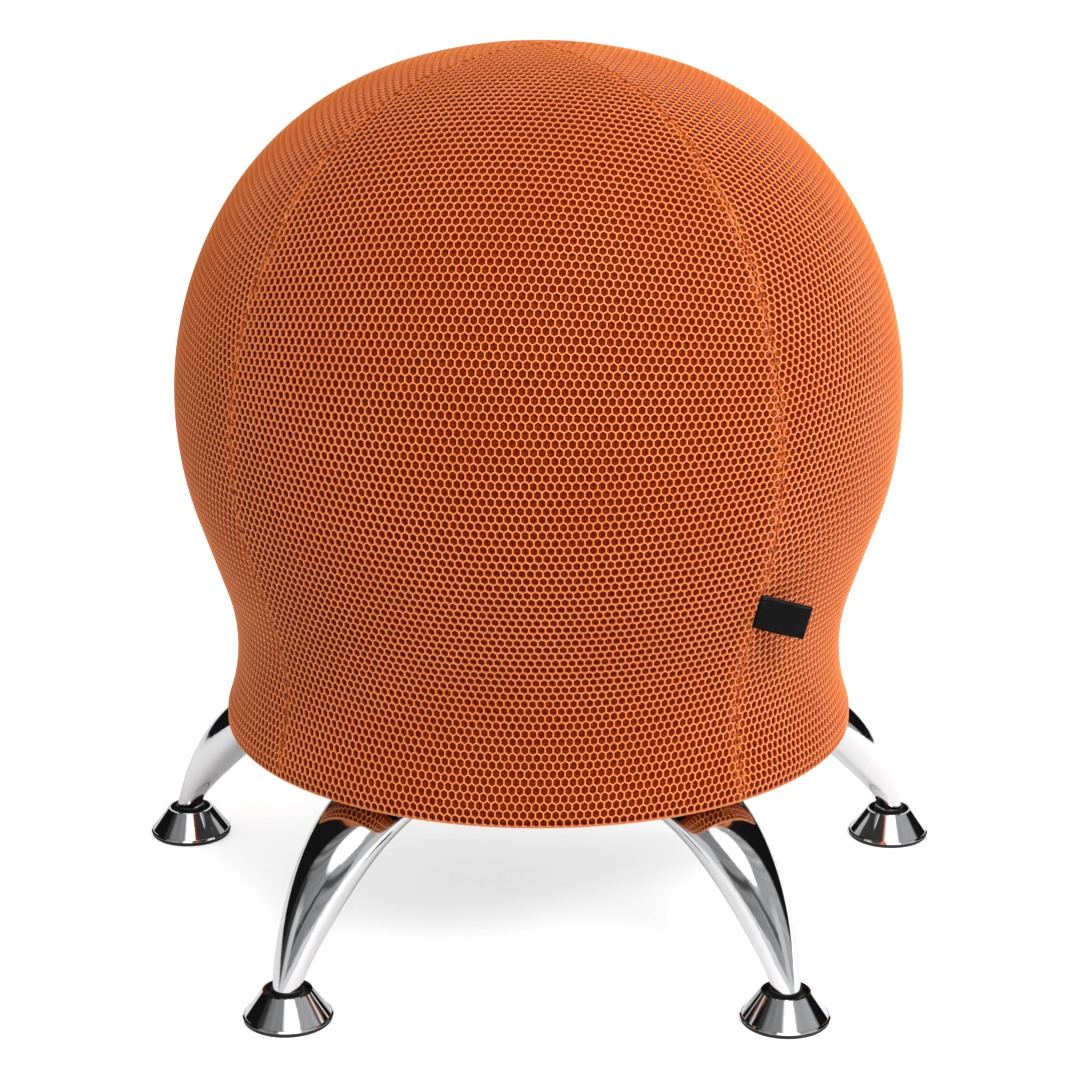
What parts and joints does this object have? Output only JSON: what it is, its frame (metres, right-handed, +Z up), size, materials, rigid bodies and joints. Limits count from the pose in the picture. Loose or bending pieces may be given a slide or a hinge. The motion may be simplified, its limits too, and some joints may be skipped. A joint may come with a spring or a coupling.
{
  "type": "balance ball chair",
  "caption": "Backless seat made of an air-filled ball in a fitted mesh cover, held in a dish on curved metal legs with tilting bell feet.",
  "frame": {"origin": "on the floor, in the middle of the chair's outline from above; the upright axis of the ball and of the ring of feet stands 25 mm in front of it, at y = -0.025", "axes": "+Z up, -Y towards the front panel, +X towards the side with the tab; one leg points along +Y"},
  "size_m": [0.5548, 0.5304, 0.5734],
  "materials": {
    "cover_mesh": "knitted polyester spacer mesh",
    "cover_seam": "overlocked seam",
    "cover_hem": "folded mesh",
    "elastic": "woven elastic",
    "tab_tape": "woven satin tape",
    "ball_vinyl": "burst-resistant vinyl, satin",
    "dish_plastic": "moulded polypropylene, fine grain",
    "plate_steel": "black powder coat",
    "leg_chrome": "polished chrome plate",
    "bell_chrome": "polished chrome plate",
    "plug_plastic": "moulded",
    "pad_plastic": "moulded, satin",
    "socket_nylon": "moulded nylon",
    "stud_steel": "zinc plated",
    "fastener_steel": "black zinc plated"
  },
  "bodies": {
    "chair": {"ball": "ball_vinyl", "ball_valve": "ball_vinyl", "cover_panel_front": "cover_mesh", "cover_panel_left": "cover_mesh", "cover_panel_back": "cover_mesh", "cover_panel_right": "cover_mesh", "cover_seam_front_right": "cover_seam", "cover_seam_front_left": "cover_seam", "cover_seam_back_left": "cover_seam", "cover_seam_back_right": "cover_seam", "cover_hem": "cover_hem", "hem_elastic": "elastic", "side_tab": "tab_tape", "base_dish": "dish_plastic", "base_plate": "plate_steel", "leg_rear": "leg_chrome", "leg_side_left": "leg_chrome", "leg_front_left": "leg_chrome", "leg_front_right": "leg_chrome", "leg_side_right": "leg_chrome", "leg_plate_rear": "plate_steel", "leg_plate_side_left": "plate_steel", "leg_plate_front_left": "plate_steel", "leg_plate_front_right": "plate_steel", "leg_plate_side_right": "plate_steel", "end_plug_rear": "plug_plastic", "end_plug_side_left": "plug_plastic", "end_plug_front_left": "plug_plastic", "end_plug_front_right": "plug_plastic", "end_plug_side_right": "plug_plastic", "leg_bolts": "fastener_steel", "leg_washers": "fastener_steel", "leg_nuts": "fastener_steel", "dish_screws": "fastener_steel"},
    "valve_plug": {"valve_plug": "ball_vinyl"},
    "stud_rear": {"foot_stud_rear": "stud_steel"},
    "glide_rear": {"foot_bell_rear": "bell_chrome", "foot_socket_rear": "socket_nylon", "foot_pad_rear": "pad_plastic"},
    "stud_side_left": {"foot_stud_side_left": "stud_steel"},
    "glide_side_left": {"foot_bell_side_left": "bell_chrome", "foot_socket_side_left": "socket_nylon", "foot_pad_side_left": "pad_plastic"},
    "stud_front_left": {"foot_stud_front_left": "stud_steel"},
    "glide_front_left": {"foot_bell_front_left": "bell_chrome", "foot_socket_front_left": "socket_nylon", "foot_pad_front_left": "pad_plastic"},
    "stud_front_right": {"foot_stud_front_right": "stud_steel"},
    "glide_front_right": {"foot_bell_front_right": "bell_chrome", "foot_socket_front_right": "socket_nylon", "foot_pad_front_right": "pad_plastic"},
    "stud_side_right": {"foot_stud_side_right": "stud_steel"},
    "glide_side_right": {"foot_bell_side_right": "bell_chrome", "foot_socket_side_right": "socket_nylon", "foot_pad_side_right": "pad_plastic"}
  },
  "joints": [
    {"name": "valve_plug_pull", "type": "slide", "parent": "chair", "child": "valve_plug", "axis": [0, 0, -1], "range_m": [0, 0.018]},
    {"name": "foot_turn_rear", "type": "hinge", "parent": "chair", "child": "stud_rear", "pos_m": [0, 0.23698, 0.01], "axis": [0, 0, 1], "continuous": true},
    {"name": "foot_tilt_rear", "type": "hinge", "parent": "stud_rear", "child": "glide_rear", "pos_m": [0, 0.23698, 0.01], "axis": [-1, 0, 0], "range_deg": [-10, 10]},
    {"name": "foot_turn_side_left", "type": "hinge", "parent": "chair", "child": "stud_side_left", "pos_m": [-0.24918, 0.05594, 0.01], "axis": [0, 0, 1], "continuous": true},
    {"name": "foot_tilt_side_left", "type": "hinge", "parent": "stud_side_left", "child": "glide_side_left", "pos_m": [-0.24918, 0.05594, 0.01], "axis": [-0.309, -0.9511, 0], "range_deg": [-10, 10]},
    {"name": "foot_turn_front_left", "type": "hinge", "parent": "chair", "child": "stud_front_left", "pos_m": [-0.154, -0.23698, 0.01], "axis": [0, 0, 1], "continuous": true},
    {"name": "foot_tilt_front_left", "type": "hinge", "parent": "stud_front_left", "child": "glide_front_left", "pos_m": [-0.154, -0.23698, 0.01], "axis": [0.809, -0.5878, 0], "range_deg": [-10, 10]},
    {"name": "foot_turn_front_right", "type": "hinge", "parent": "chair", "child": "stud_front_right", "pos_m": [0.154, -0.23698, 0.01], "axis": [0, 0, 1], "continuous": true},
    {"name": "foot_tilt_front_right", "type": "hinge", "parent": "stud_front_right", "child": "glide_front_right", "pos_m": [0.154, -0.23698, 0.01], "axis": [0.809, 0.5878, 0], "range_deg": [-10, 10]},
    {"name": "foot_turn_side_right", "type": "hinge", "parent": "chair", "child": "stud_side_right", "pos_m": [0.24918, 0.05594, 0.01], "axis": [0, 0, 1], "continuous": true},
    {"name": "foot_tilt_side_right", "type": "hinge", "parent": "stud_side_right", "child": "glide_side_right", "pos_m": [0.24918, 0.05594, 0.01], "axis": [-0.309, 0.9511, 0], "range_deg": [-10, 10]}
  ]
}
